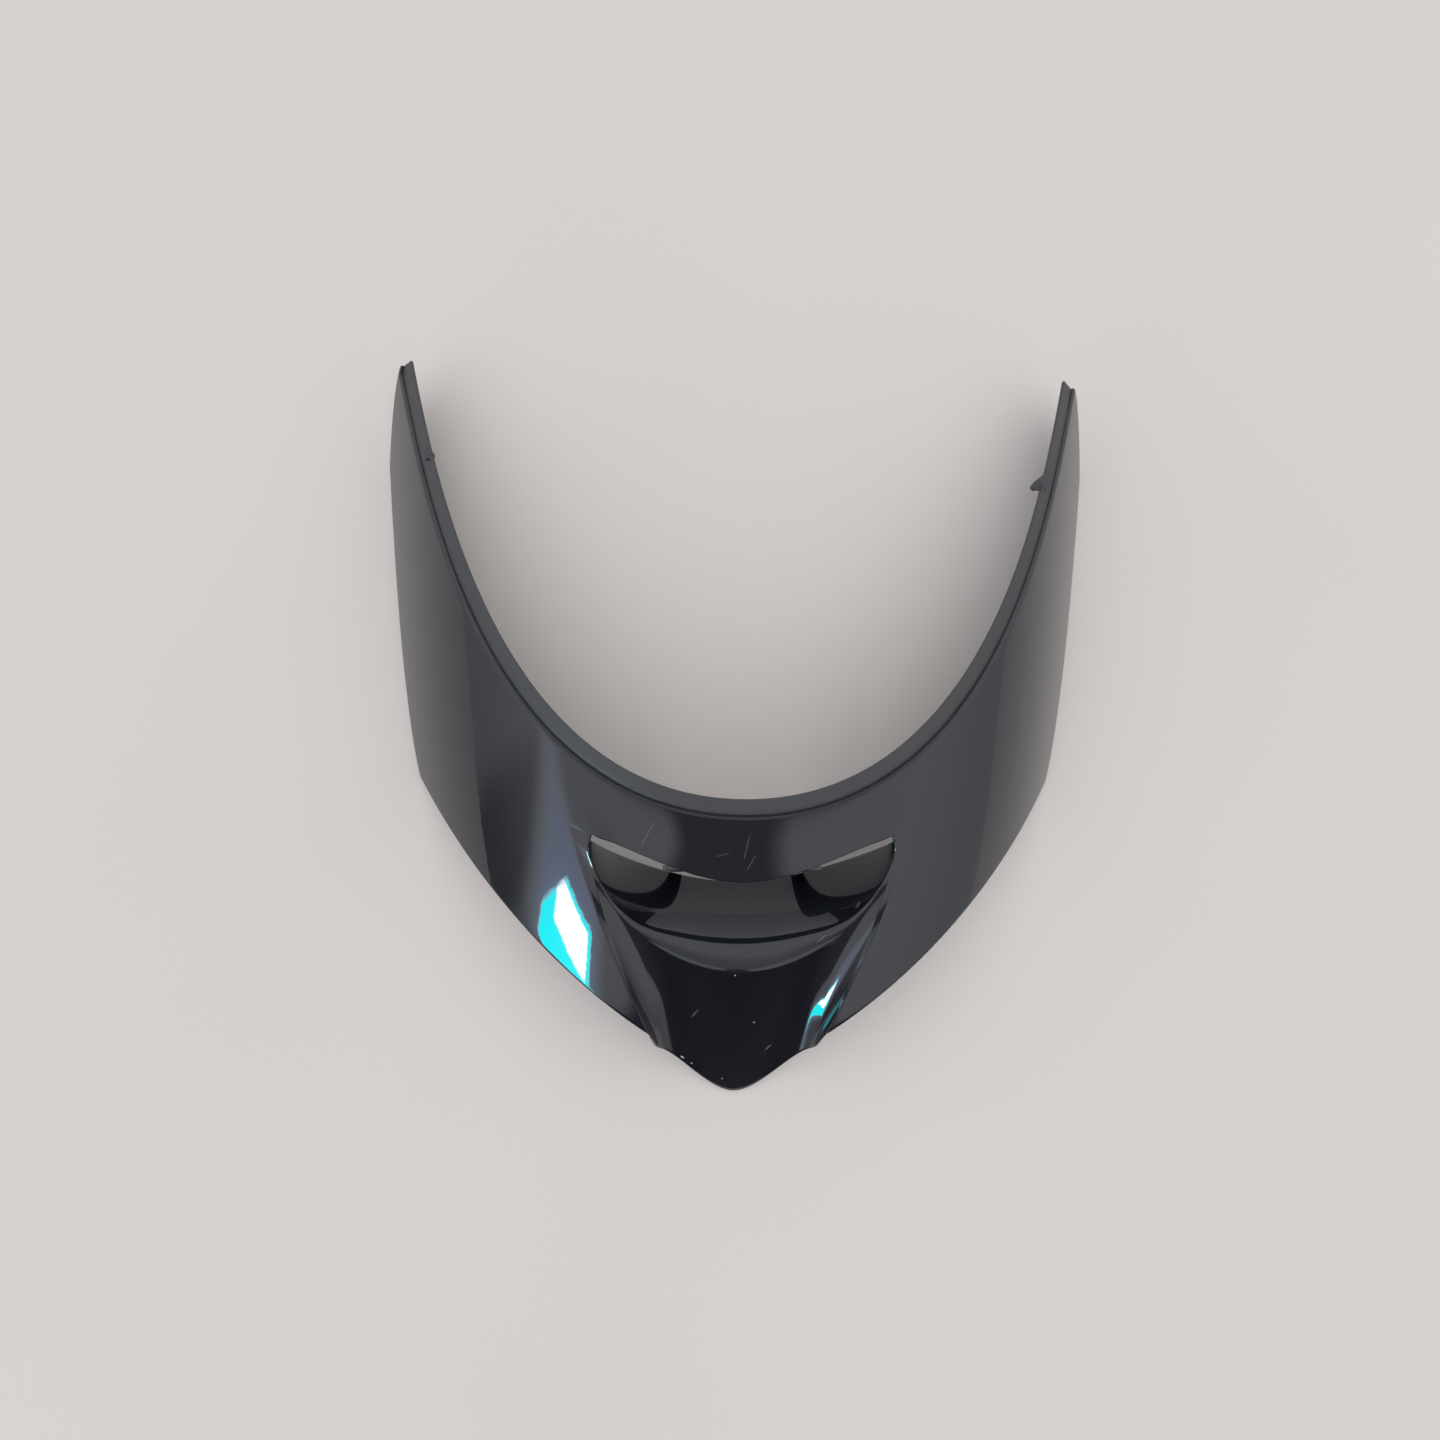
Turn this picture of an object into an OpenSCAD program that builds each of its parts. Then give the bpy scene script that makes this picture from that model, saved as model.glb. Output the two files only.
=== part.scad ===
// Front cowl of a scooter: one moulded, painted shell, lying on its hollow side.
// X runs across the arms, Y from the nose to the arm tips, Z up from the table.
// All curves are drawn from the bottom of the U-shaped opening, at Y = 0.

/* [Overall] */
// Width across the outer edges of the two arms
overall_w = 478; // [450:1:510]
// Reach of the arms behind the bottom of the opening
arm_reach = 280; // [250:1:310]
// Reach of the nose in front of the bottom of the opening
nose_reach = 203; // [190:1:215]
// Height of the crown at the bottom of the opening
crown_h = 96; // [86:1:106]

/* [Shell] */
// Wall thickness of the moulding
wall = 2.5; // [1.8:0.1:3.2]
// Distance between the inner edges at the arm tips
opening_w = 434; // [410:1:446]
// Width of the matt flange along the opening
flange_w = 9; // [6:0.5:12]
// Depth of the flange below the painted face
flange_sink = 1.8; // [1:0.1:2.4]
// Width of the groove between flange and painted edge
groove_w = 1.2; // [0.8:0.1:2]
// Depth of the groove below the painted face
groove_sink = 2.9; // [2.6:0.1:3.4]
// Radius of the painted edge along the groove
edge_r = 2; // [1:0.1:3]

/* [Intake] */
// Width of the mouth between its corners
mouth_w = 180; // [160:1:188]
// Distance from the opening to the upper lip, at the middle
band_l = 49.5; // [44:0.5:56]
// Distance from the upper lip to the lower lip, at the middle
mouth_l = 55; // [48:0.5:58]
// Drop of the scoop from the lower lip to its rear edge
scoop_drop = 47; // [38:1:52]
// Distance the scoop's rear edge lies in front of the upper lip
scoop_gap = 9; // [7:0.5:14]
// Distance between the middles of the two struts
strut_gap = 80; // [60:1:96]
// Width of a strut at the lip
strut_w = 13; // [9:0.5:16]
// Width of a strut at the scoop
strut_foot_w = 8; // [6:0.5:10]
// Thickness of a strut
strut_t = 2.4; // [1.8:0.1:3]

/* [Beak] */
// Width of the beak between its shoulders on the lower edge
beak_w = 101; // [92:1:110]
// Length of the beak's shoulders behind the nose tip
beak_l = 39; // [34:1:44]
// Distance of the crease's end behind the shoulders
crease_gap = 14; // [10:1:20]
// Height of the beak's shoulders above the nose tip
shoulder_h = 28; // [20:1:32]
// Dip of the lower lip where the beak's valley starts
lip_dip = 9; // [4:0.5:12]

/* [Skirt] */
// Distance between the two lower corners
corner_w = 428; // [410:1:440]
// Distance of the lower corners behind the bottom of the opening
corner_y = 7; // [0:1:16]
// Distance between the two cheek creases on the lower edge
crease_w = 110; // [104:1:120]

/* [Fixings] */
// Outside width of a screw boss on the underside
boss_d = 9; // [8:0.5:12]
// Pilot hole of a screw boss
pilot_d = 4; // [3:0.1:4.5]
// Length of a screw boss below the panel
boss_l = 16; // [12:0.5:20]
// Depth of the pilot hole
pilot_l = 12; // [8:0.5:14]
// Distance between the two screw bosses
boss_gap = 250; // [230:1:270]
// Outside width of the small peg boss on the right arm
peg_d = 4.4; // [4:0.1:6]
// Hole in the small peg boss
peg_bore = 2.2; // [1.6:0.1:2.6]
// Length of the small peg boss
peg_l = 7; // [5:0.5:10]

/* [Tips] */
// Length broken off the right arm tip at its outer edge
right_break = 12; // [6:0.5:16]
// Length broken off the right arm tip at its inner edge
right_chip = 6; // [3:0.5:8]
// Length worn off the left arm tip at its outer edge
left_break = 2; // [0:0.5:5]

/* [Hidden] */

half_w = overall_w / 2;
half_open = opening_w / 2;
half_mouth = mouth_w / 2;
half_beak = beak_w / 2;
half_crease = crease_w / 2;
half_corner = corner_w / 2;
nose_y = -nose_reach;
shoulder_y = nose_y + beak_l;
crease_y = shoulder_y + crease_gap;
lip_y = -band_l;
low_lip_y = lip_y - mouth_l;

// Columns from the middle to an arm tip, and rows from the opening to the outer edge.
// Columns: beak, mouth corner, crease, lower corner, start of the tip, end of the tip.
// Rows: painted edge, upper lip, scoop's rear edge, lower lip, outer edge.
N_BEAK = 8;
N_MOUTH = 15;
N_CREASE = 16;
N_SKIRT = 26;
N_SIDE = 36;
N_COL = 40;
R_EDGE = 5;
R_LIP = 11;
R_SCOOP = 13;
R_LOW = 19;
N_ROW = 29;

// Shares of the opening's edge at which the crease, the corner and the tip columns start
MOUTH_START = 0.36;
CREASE_START = 0.38;
CORNER_START = 0.55;
TIP_START = 0.92;
// Shares of a column: the crease at the upper lip, and the painted face at the two lips
CREASE_LIP = 0.58;
LIP_SHARE = 0.4;
LOW_SHARE = 0.46;

function mix(a, b, t) = a + (b - a) * t;
function flat(p) = [p[0], p[1]];
function unit(v) = v / norm(v);

// Bezier curve through any number of control points
function bez(p, t) = len(p) == 1 ? p[0]
    : bez([for (i = [0 : len(p) - 2]) mix(p[i], p[i + 1], t)], t);

// The crown: a ridge line along the middle, and the reach at which each side meets the table
RIDGE_RISE = 0.223;
RIDGE_BOW = 0.00067;
CROWN_FULLNESS = 2.87;
CROWN_RUN = 22;
crown_back = 1.77 * arm_reach;
crown_front = nose_reach + CROWN_RUN;
function ridge(y) = crown_h + RIDGE_RISE * y - RIDGE_BOW * y * y;
function crown_reach(y) = half_w * (0.95 + 0.00026 * y)
    * pow(1 - pow((crown_back - y) / (crown_back + crown_front), 5), 0.38);
function crown(x, y) = ridge(y) * (1 - pow(abs(x) / crown_reach(y), CROWN_FULLNESS));
function raised(p) = [p[0], p[1], crown(p[0], p[1])];

// Plan curves of the right half, drawn through control points
ARM_BEND = 0.384;
SIDE_END = 0.78;
SIDE_BOW = [11, 41];
TIP_BOW = 4;
TIP_W = 9;
FRONT_BOW = 98;
opening = [[0, 0], [0.5 * half_open, 0], [0.783 * half_open, ARM_BEND * arm_reach], [half_open, arm_reach]];
upper_lip = [[0, lip_y], [0.325 * half_mouth, lip_y], [0.654 * half_mouth, 0.65 * lip_y],
    [0.976 * half_mouth, 0.437 * lip_y]];
lower_lip = [[0, low_lip_y], [0.41 * half_mouth, low_lip_y], [0.847 * half_mouth, 0.795 * low_lip_y],
    [1.006 * half_mouth, 0.3 * low_lip_y]];
crease = [bez(opening, CREASE_START), [1.27 * half_mouth, 33], [1.174 * half_mouth, -26],
    [half_crease, crease_y]];
valley = [bez(lower_lip, N_BEAK / N_MOUTH), [half_beak, 0.72 * shoulder_y], [half_beak, shoulder_y]];
nose = [[0, nose_y], [0.35 * half_beak, nose_y], [0.78 * half_beak, nose_y + 0.81 * beak_l],
    [half_beak, shoulder_y]];
skirt_front = [[half_crease, crease_y], [mix(half_crease, half_corner, 0.463), -FRONT_BOW],
    [half_corner, corner_y]];
skirt_side = [[half_corner, corner_y], [half_w - SIDE_BOW[0], corner_y + SIDE_BOW[1]],
    [half_w, SIDE_END * arm_reach]];
skirt_tip = [[half_w, SIDE_END * arm_reach], [half_w - TIP_BOW, 0.93 * arm_reach],
    [half_open + TIP_W, arm_reach]];
scoop_back = [[0, lip_y - scoop_gap], [0.45 * half_mouth, lip_y - scoop_gap],
    [0.83 * half_mouth, 0.96 * lip_y], [0.985 * half_mouth, 0.5 * lip_y]];

// Point of the lower outer edge at a column of the side panel
function skirt(i) = i <= N_SKIRT ? bez(skirt_front, (i - N_CREASE) / (N_SKIRT - N_CREASE))
    : i <= N_SIDE ? bez(skirt_side, (i - N_SKIRT) / (N_SIDE - N_SKIRT))
    : bez(skirt_tip, (i - N_SIDE) / (N_COL - N_SIDE));

// Place along the opening's edge at which a column starts
function start(i) = i < N_CREASE ? MOUTH_START * i / N_MOUTH
    : i <= N_SKIRT ? mix(CREASE_START, CORNER_START, (i - N_CREASE) / (N_SKIRT - N_CREASE))
    : i <= N_SIDE ? mix(CORNER_START, TIP_START, (i - N_SKIRT) / (N_SIDE - N_SKIRT))
    : mix(TIP_START, 1, (i - N_SIDE) / (N_COL - N_SIDE));

// How far the crease bends away from a straight column
function bend(v, v_end) = bez(crease, v) - mix(crease[0], bez(crease, v_end), v / v_end);

// Plan point at share v of a column, measured from the opening
function plan(i, v) = i <= N_MOUTH
    ? mix(bez(opening, start(i)), bez(upper_lip, i / N_MOUTH), v / CREASE_LIP)
        + bend(v, CREASE_LIP) * pow(i / N_MOUTH, 3)
    : mix(bez(opening, start(i)), skirt(i), v)
        + bend(v, 1) * pow(1 - (i - N_CREASE) / (N_COL - N_CREASE), 3);

// How fast a column leaves the opening's edge, square to that edge
function pace(i) = let (step = 0.02, t = start(i), edge = unit(bez(opening, t + step) - bez(opening, t)),
    d = (plan(i, step) - plan(i, 0)) / step) abs(edge[0] * d[1] - edge[1] * d[0]);
function flange_end(i) = min(flange_w / pace(i), 0.7);
function edge_end(i) = min(flange_end(i) + (groove_w + edge_r) / pace(i), 0.9);

// Share of the painted face at each row, from the groove to the outer edge
function row_share(j) = j <= R_LIP ? LIP_SHARE * (j - R_EDGE) / (R_LIP - R_EDGE)
    : j <= R_LOW ? mix(LIP_SHARE, LOW_SHARE, (j - R_LIP) / (R_LOW - R_LIP))
    : mix(LOW_SHARE, 1, (j - R_LOW) / (N_ROW - R_LOW));
function low_share(j) = (j - R_LOW) / (N_ROW - R_LOW);

function column_v(i, j) = j == 0 ? 0
    : j == 1 ? flange_end(i)
    : j == 2 ? flange_end(i) + 0.5 * groove_w / pace(i)
    : j == 3 ? flange_end(i) + groove_w / pace(i)
    : j == 4 ? mix(flange_end(i) + groove_w / pace(i), edge_end(i), 0.4)
    : i <= N_MOUTH ? mix(edge_end(i), CREASE_LIP, row_share(j) / LIP_SHARE)
    : mix(edge_end(i), 1, row_share(j));
function sink(j) = j <= 1 ? flange_sink : j == 2 ? groove_sink : j == 3 ? 0.55 * groove_sink
    : j == 4 ? 0.12 * edge_r : 0;

// Heights along the lower lip, the valley and the nose
function low_lip(i) = let (m = i / N_MOUTH, p = bez(lower_lip, m))
    [p[0], p[1], crown(p[0], p[1]) - lip_dip * pow(sin(180 * m), 2)];
function valley_point(v) = let (p = bez(valley, v), top = low_lip(N_BEAK))
    [p[0], p[1], mix(top[2], shoulder_h, v)];
function nose_point(n) = let (p = bez(nose, n)) [p[0], p[1], shoulder_h * pow(n, 2)];
function crease_point(v) = raised(bez(crease, v));

// Beak between the lower lip and the nose: a straight ramp that bends to the valley on each side
function beak(i, v) =
    let (n = i / N_BEAK, top = low_lip(i), end = nose_point(n), side = valley_point(v),
        straight = mix(flat(top), flat(end), v),
        side_bend = flat(side) - mix(flat(valley_point(0)), flat(valley_point(1)), v),
        p = straight + side_bend * n,
        middle = low_lip(0)[2] * (1 - v),
        z = mix(middle, side[2], pow(n, 3)),
        z_top = mix(low_lip(0)[2], low_lip(N_BEAK)[2], pow(n, 3)),
        z_end = shoulder_h * pow(n, 3))
    [p[0], p[1], z + (top[2] - z_top) * pow(1 - v, 3) + (end[2] - z_end) * pow(v, 3)];

// Cheek between the valley and the crease
function cheek(i, v) =
    let (c = (i - N_BEAK) / (N_CREASE - N_BEAK),
        v_low = column_v(N_CREASE, R_LOW),
        inner = valley_point(v), outer = crease_point(mix(v_low, 1, v)),
        top = i == N_CREASE ? crease_point(v_low) : low_lip(i),
        top_line = mix(valley_point(0), crease_point(v_low), c))
    mix(inner, outer, c) + (top - top_line) * pow(1 - v, 2);

// Rounded corner of the mouth, from the upper to the lower lip
function corner(k) = mix(raised(bez(upper_lip, 1)), low_lip(N_MOUTH), k);

// Scoop wall that rolls over the lower lip and falls to its rear edge
function scoop(i, k) =
    let (m = i / N_MOUTH, top = low_lip(i), back = bez(scoop_back, m),
        side = corner(1 - k * (R_LOW - R_SCOOP) / (R_LOW - R_LIP)),
        side_end = corner((R_SCOOP - R_LIP) / (R_LOW - R_LIP)),
        deep = mix(top[2] - scoop_drop, side_end[2], pow(m, 5)),
        fall = mix(0.12 * k + 0.88 * pow(k, 1.8), k, pow(m, 5)),
        p = mix(flat(top), back, k), z = mix(top[2], deep, fall))
    mix([p[0], p[1], z], side, pow(m, 30));

// Outer skin at column i and row j of the right half
function skin(i, j) =
    j < R_LIP || i > N_CREASE || (i == N_CREASE && j <= R_LOW) || j == R_LIP
    ? raised(plan(i, column_v(i, j)))
    : j >= R_LOW ? (i <= N_BEAK ? beak(i, low_share(j)) : cheek(i, low_share(j)))
    : i == N_MOUTH ? corner((j - R_LIP) / (R_LOW - R_LIP))
    : scoop(i, min(1, (R_LOW - j) / (R_LOW - R_SCOOP)));

SKIN = [for (i = [0 : N_COL]) [for (j = [0 : N_ROW]) skin(i, j)]];
function way_through(a, b, c) = a == b ? unit(c - b) : b == c ? unit(b - a) : unit(b - a) + unit(c - b);
function face_normal(i, j) =
    let (i0 = max(i - 1, 0), i1 = min(i + 1, N_COL), j0 = max(j - 1, 0), j1 = min(j + 1, N_ROW))
    unit(cross(way_through(SKIN[i][j1], SKIN[i][j], SKIN[i][j0]),
        way_through(SKIN[i0][j], SKIN[i][j], SKIN[i1][j])));

// Direction of the wall's thickness: towards a line low inside the shell, down along the flange
// and at the arm tips, forward and down along the scoop, out and down at the mouth's corner,
// square to the face on the beak, and turning evenly across the cheek from its valley to its crease
CORE_Y = -40;
CORE_Z = -60;
FLANGE_LEAN = 0.35;
SCOOP_WAY = [0.8, -0.75, -0.5];
CORNER_WAY = [0.5, 0.1, -0.85];
SQUARE_ROWS = 3;
SQUARE_COLUMNS = 4;
function inward(p) = unit([-p[0], -0.3 * (p[1] - CORE_Y), CORE_Z - p[2]]);
function cheek_way(j, c) = unit(mix(face_normal(N_BEAK, j), face_normal(N_CREASE, j), c));
function square_way(i, j) = i > N_BEAK && i < N_CREASE && j > R_LOW
    ? cheek_way(j, (i - N_BEAK) / (N_CREASE - N_BEAK)) : face_normal(i, j);
function squareness(i, j) = max(0, min(1, (j - R_LOW + 1) / SQUARE_ROWS))
    * max(0, min(1, (N_CREASE + SQUARE_COLUMNS - i) / SQUARE_COLUMNS));
function corner_share(i) = pow(i / N_MOUTH, 8);
function scoop_way(i) = let (m = i / N_MOUTH)
    unit(mix([SCOOP_WAY[0] * m, SCOOP_WAY[1], SCOOP_WAY[2]], CORNER_WAY, corner_share(i)));
function scoop_share(i, j) = i > N_MOUTH || j < R_LIP - 1 || j > R_LOW + 1 ? 0
    : j < R_LIP || j > R_LOW ? 0.5 * corner_share(i)
    : j == R_LIP ? corner_share(i)
    : min(1, mix((R_LOW - j) / (R_LOW - R_SCOOP), 1, corner_share(i)));
function flange_way(p) = [-FLANGE_LEAN * p[0] / half_open, 0, -1];
function flange_share(i, j) = max(0, 1 - j / R_EDGE, (i - N_SIDE) / (N_COL - N_SIDE));
function face_way(i, j, p) = unit(mix(inward(p), square_way(i, j), squareness(i, j)));
function inward_at(i, j, p) = flange_share(i, j) > 0 ? unit(mix(inward(p), flange_way(p), flange_share(i, j)))
    : scoop_share(i, j) > 0 ? unit(mix(face_way(i, j, p), scoop_way(i), scoop_share(i, j)))
    : face_way(i, j, p);
function thickness(i, j, d) = wall / max(0.6, abs(face_normal(i, j) * d));

// The last columns stop short where a tip is broken, with a notch across the right one
TIP_PACE = (1 - SIDE_END) * arm_reach / (N_COL - N_SIDE);
TIP_NOTCH = 1;
function tip_loss(c, j) = c < 0 ? mix(0, left_break, j / N_ROW)
    : mix(right_chip, right_break, j / N_ROW) + (j == 2 || j == 3 ? TIP_NOTCH : 0);
function worn_column(c, j) = let (past = max(abs(c) - N_SIDE, 0) / (N_COL - N_SIDE))
    abs(c) - past * tip_loss(c, j) / TIP_PACE;
function worn(c, j) = abs(c) > N_SIDE ? skin(worn_column(c, j), j) : SKIN[abs(c)][j];
function outer_point(c, j) = let (p = worn(c, j)) p + sink(j) * inward_at(abs(c), j, p);
function inner_point(c, j) = let (p = worn(c, j), d = inward_at(abs(c), j, p))
    p + (thickness(abs(c), j, d) + (j < R_EDGE ? flange_sink : 0)) * d;

function mirrored(p, s) = [s * p[0], p[1], p[2]];
function columns() = [for (c = [-N_COL : N_COL]) c];
OUTER = [for (c = columns()) for (j = [0 : N_ROW]) mirrored(outer_point(c, j), sign(c))];
INNER = [for (c = columns()) for (j = [0 : N_ROW]) mirrored(inner_point(c, j), sign(c))];
HALF = len(OUTER);
STEP = N_ROW + 1;
function at(c, j) = (c + N_COL) * STEP + j;
function is_open(c, j) = c >= -N_MOUTH && c < N_MOUTH && j >= R_LIP && j < R_SCOOP;

function quad_pair(a, b, c, d) = [[a, b, c], [a, c, d]];
cells = [for (c = [-N_COL : N_COL - 1]) for (j = [0 : N_ROW - 1]) if (!is_open(c, j)) [c, j]];
top_faces = [for (q = cells) let (c = q[0], j = q[1])
    each quad_pair(at(c, j), at(c + 1, j), at(c + 1, j + 1), at(c, j + 1))];
under_faces = [for (q = cells) let (c = q[0], j = q[1])
    each quad_pair(HALF + at(c, j), HALF + at(c, j + 1), HALF + at(c + 1, j + 1), HALF + at(c + 1, j))];

// Closed runs of points round the outline and round the mouth
outline = concat(
    [for (c = [-N_COL : N_COL - 1]) at(c, 0)],
    [for (j = [0 : N_ROW - 1]) at(N_COL, j)],
    [for (c = [N_COL : -1 : -N_COL + 1]) at(c, N_ROW)],
    [for (j = [N_ROW : -1 : 1]) at(-N_COL, j)]);
mouth = concat(
    [for (j = [R_LIP : R_SCOOP - 1]) at(-N_MOUTH, j)],
    [for (c = [-N_MOUTH : N_MOUTH - 1]) at(c, R_SCOOP)],
    [for (j = [R_SCOOP : -1 : R_LIP + 1]) at(N_MOUTH, j)],
    [for (c = [N_MOUTH : -1 : -N_MOUTH + 1]) at(c, R_LIP)]);
function rim(run) = [for (k = [0 : len(run) - 1]) let (a = run[k], b = run[(k + 1) % len(run)])
    each quad_pair(a, HALF + a, HALF + b, b)];

all_points = concat(OUTER, INNER);
floor_z = min([for (p = all_points) p[2]]);
faces = concat(top_faces, under_faces, rim(outline), rim(mouth));

module shell() {
    polyhedron(points = [for (p = all_points) p - [0, 0, floor_z]], faces = faces, convexity = 10);
}

// Turns a child's Z axis along direction d, at point p
module along(p, d) {
    translate(p)
        rotate([0, acos(d[2] / norm(d)), atan2(d[1], d[0])])
            children();
}

// Flat strut from the upper lip down to the scoop's rear edge, its ends sunk in both walls
STRUT_END = 1.2;
STRUT_PLACE = 0.98;
module strut(side) {
    x = side * strut_gap / 2;
    m = strut_gap / mouth_w;
    head = raised(bez(upper_lip, m * STRUT_PLACE));
    foot = bez(scoop_back, m * STRUT_PLACE);
    foot_z = SKIN[round(m * N_MOUTH)][R_SCOOP][2];
    hull() {
        translate([x, head[1] + strut_t / 2, head[2] - wall + STRUT_END / 4])
            cube([strut_w, strut_t, STRUT_END], center = true);
        translate([x, foot[1] - strut_t / 4, foot_z - wall + STRUT_END / 2])
            cube([strut_foot_w, strut_t, STRUT_END], center = true);
    }
}

// Screw boss that stands on the inside of the panel
module screw_boss(x, y) {
    p = raised([x, y]);
    d = [(crown(x + 1, y) - crown(x - 1, y)) / 2, (crown(x, y + 1) - crown(x, y - 1)) / 2, -1];
    along(p, d)
        difference() {
            translate([0, 0, wall * 0.6])
                cylinder(d = boss_d, h = boss_l - wall * 0.6, $fn = 48);
            translate([0, 0, boss_l - pilot_l])
                cylinder(d = pilot_d, h = pilot_l + 1, $fn = 48);
        }
}

// Small tab with a peg boss at the inner edge of the right arm
PEG_PLACE = 0.83;
PEG_OUT = [-3.2, 1.1];
TAB_PLAN = [[7, 9], [4.6, 10.6], [-5.6, 2.6], [-5.6, -1], [-2.6, -2.6], [2.4, -2.6], [5, 0]];
TAB_SINK = 1;
module peg_tab() {
    edge = bez(opening, PEG_PLACE);
    top = crown(edge[0], edge[1]) - flange_sink - TAB_SINK;
    difference() {
        union() {
            translate([edge[0], edge[1], top - wall])
                linear_extrude(wall)
                    polygon(TAB_PLAN);
            translate([edge[0] + PEG_OUT[0], edge[1] + PEG_OUT[1], top - peg_l])
                cylinder(d = peg_d, h = peg_l, $fn = 40);
        }
        translate([edge[0] + PEG_OUT[0], edge[1] + PEG_OUT[1], top - peg_l - 1])
            cylinder(d = peg_bore, h = peg_l + 2, $fn = 40);
    }
}

// Stub left on the left arm where its tab has broken away
STUB_PLACE = 0.86;
STUB_PLAN = [[-4, -3], [-4, 4], [1.4, 1.6], [1.8, -1]];
module tab_stub() {
    edge = bez(opening, STUB_PLACE);
    translate([-edge[0], edge[1], crown(edge[0], edge[1]) - flange_sink - TAB_SINK - wall])
        linear_extrude(wall)
            polygon(STUB_PLAN);
}

BOSS_Y = 24;
module fairing() {
    color([0.1, 0.11, 0.14])
        translate([0, (nose_reach - arm_reach) / 2, 0]) {
            shell();
            translate([0, 0, -floor_z]) {
                strut(-1);
                strut(1);
                screw_boss(-boss_gap / 2, BOSS_Y);
                screw_boss(boss_gap / 2, BOSS_Y);
                peg_tab();
                tab_stub();
            }
        }
}

fairing();
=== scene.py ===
"""Front cowl of a scooter, in pearl paint, lying hollow side down under soft light."""
import math

import bmesh
import bpy
import numpy as np
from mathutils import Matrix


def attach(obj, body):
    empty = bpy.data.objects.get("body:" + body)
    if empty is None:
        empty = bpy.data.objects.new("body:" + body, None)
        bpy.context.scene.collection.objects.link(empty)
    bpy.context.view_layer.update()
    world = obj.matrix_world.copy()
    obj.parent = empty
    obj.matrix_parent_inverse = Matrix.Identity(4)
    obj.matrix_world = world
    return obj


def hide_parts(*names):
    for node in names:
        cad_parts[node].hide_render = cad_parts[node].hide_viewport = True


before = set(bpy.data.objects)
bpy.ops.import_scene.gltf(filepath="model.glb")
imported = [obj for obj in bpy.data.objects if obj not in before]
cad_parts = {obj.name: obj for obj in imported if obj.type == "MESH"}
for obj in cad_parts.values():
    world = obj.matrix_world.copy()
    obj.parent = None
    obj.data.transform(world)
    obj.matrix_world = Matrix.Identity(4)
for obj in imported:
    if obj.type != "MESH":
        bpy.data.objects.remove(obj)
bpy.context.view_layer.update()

bl_info = {
    "name": "Scooter Front Cowl",
    "version": (1, 0, 0),
    "blender": (4, 5, 0),
    "location": "View3D > Sidebar > Cowl",
    "description": "Builds a painted scooter front cowl with an air intake, and its stage",
    "category": "Object",
}

NODE = "fairing"

# Columns of the shell from its middle to an arm tip, and rows from the opening to the outer edge
N_BEAK, N_MOUTH, N_CREASE, N_SKIRT, N_SIDE, N_COL = 8, 15, 16, 26, 36, 40
R_EDGE, R_LIP, R_SCOOP, R_LOW, N_ROW = 5, 11, 13, 19, 29
# Row, past the groove's floor, up to which the plastic is bare
BARE_END = 2.95
# Shares of the opening's edge at which the crease, the corner and the tip columns start
MOUTH_START, CREASE_START, CORNER_START, TIP_START = 0.36, 0.38, 0.55, 0.92
# Shares of a column: the crease at the upper lip, and the painted face at the two lips
CREASE_LIP, LIP_SHARE, LOW_SHARE = 0.58, 0.4, 0.46
# Share of the arm at which its tip starts, and lean of the wall at the flange
SIDE_END = 0.78
FLANGE_LEAN = 0.35
# Places of the tab on the right arm and of its broken twin, as shares of the opening's edge,
# and their outlines
PEG_PLACE, STUB_PLACE = 0.83, 0.86
PEG_OUT = (-0.0032, 0.0011)
TAB_SINK = 0.001
TAB_PLAN = ((0.007, 0.009), (0.0046, 0.0106), (-0.0056, 0.0026), (-0.0056, -0.001), (-0.0026, -0.0026),
            (0.0024, -0.0026), (0.005, 0.0))
STUB_PLAN = ((-0.004, -0.003), (0.0018, -0.001), (0.0014, 0.0016), (-0.004, 0.004))
# Crown: its ends behind the arms and before the nose, and the slope and bow of its ridge
CROWN_BACK, CROWN_RUN, RIDGE_SLOPE, RIDGE_BOW = 1.77, 0.022, 0.223, 0.67
# Roundings: of the lower lip, the valleys, the creases and the rims
LIP_ROLL, VALLEY_HOLLOW, CREASE_ROUND, RIM_BULGE = 0.0016, 0.0042, 0.0007, 0.0009
# Place of the screw bosses behind the bottom of the opening, and how far a strut sinks into what it joins
BOSS_PLACE = 0.024
STRUT_SINK = 0.0006


# Settings that a user would change

def length(name, description, default):
    """A size property in metres."""
    return bpy.props.FloatProperty(name=name, description=description, default=default,
                                   unit="LENGTH", subtype="DISTANCE", precision=4)


def colour(name, description, hex_value):
    """A colour property, kept as the linear values of an sRGB hex colour."""
    return bpy.props.FloatVectorProperty(name=name, description=description, size=4,
                                         default=linear(hex_value), subtype="COLOR", min=0, max=1)


def linear(hex_value):
    """Linear RGBA of an sRGB hex colour such as '#1a2b3c'."""
    parts = [int(hex_value[k:k + 2], 16) / 255 for k in (1, 3, 5)]
    return tuple(p / 12.92 if p <= 0.04045 else ((p + 0.055) / 1.055) ** 2.4 for p in parts) + (1.0,)


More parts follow.
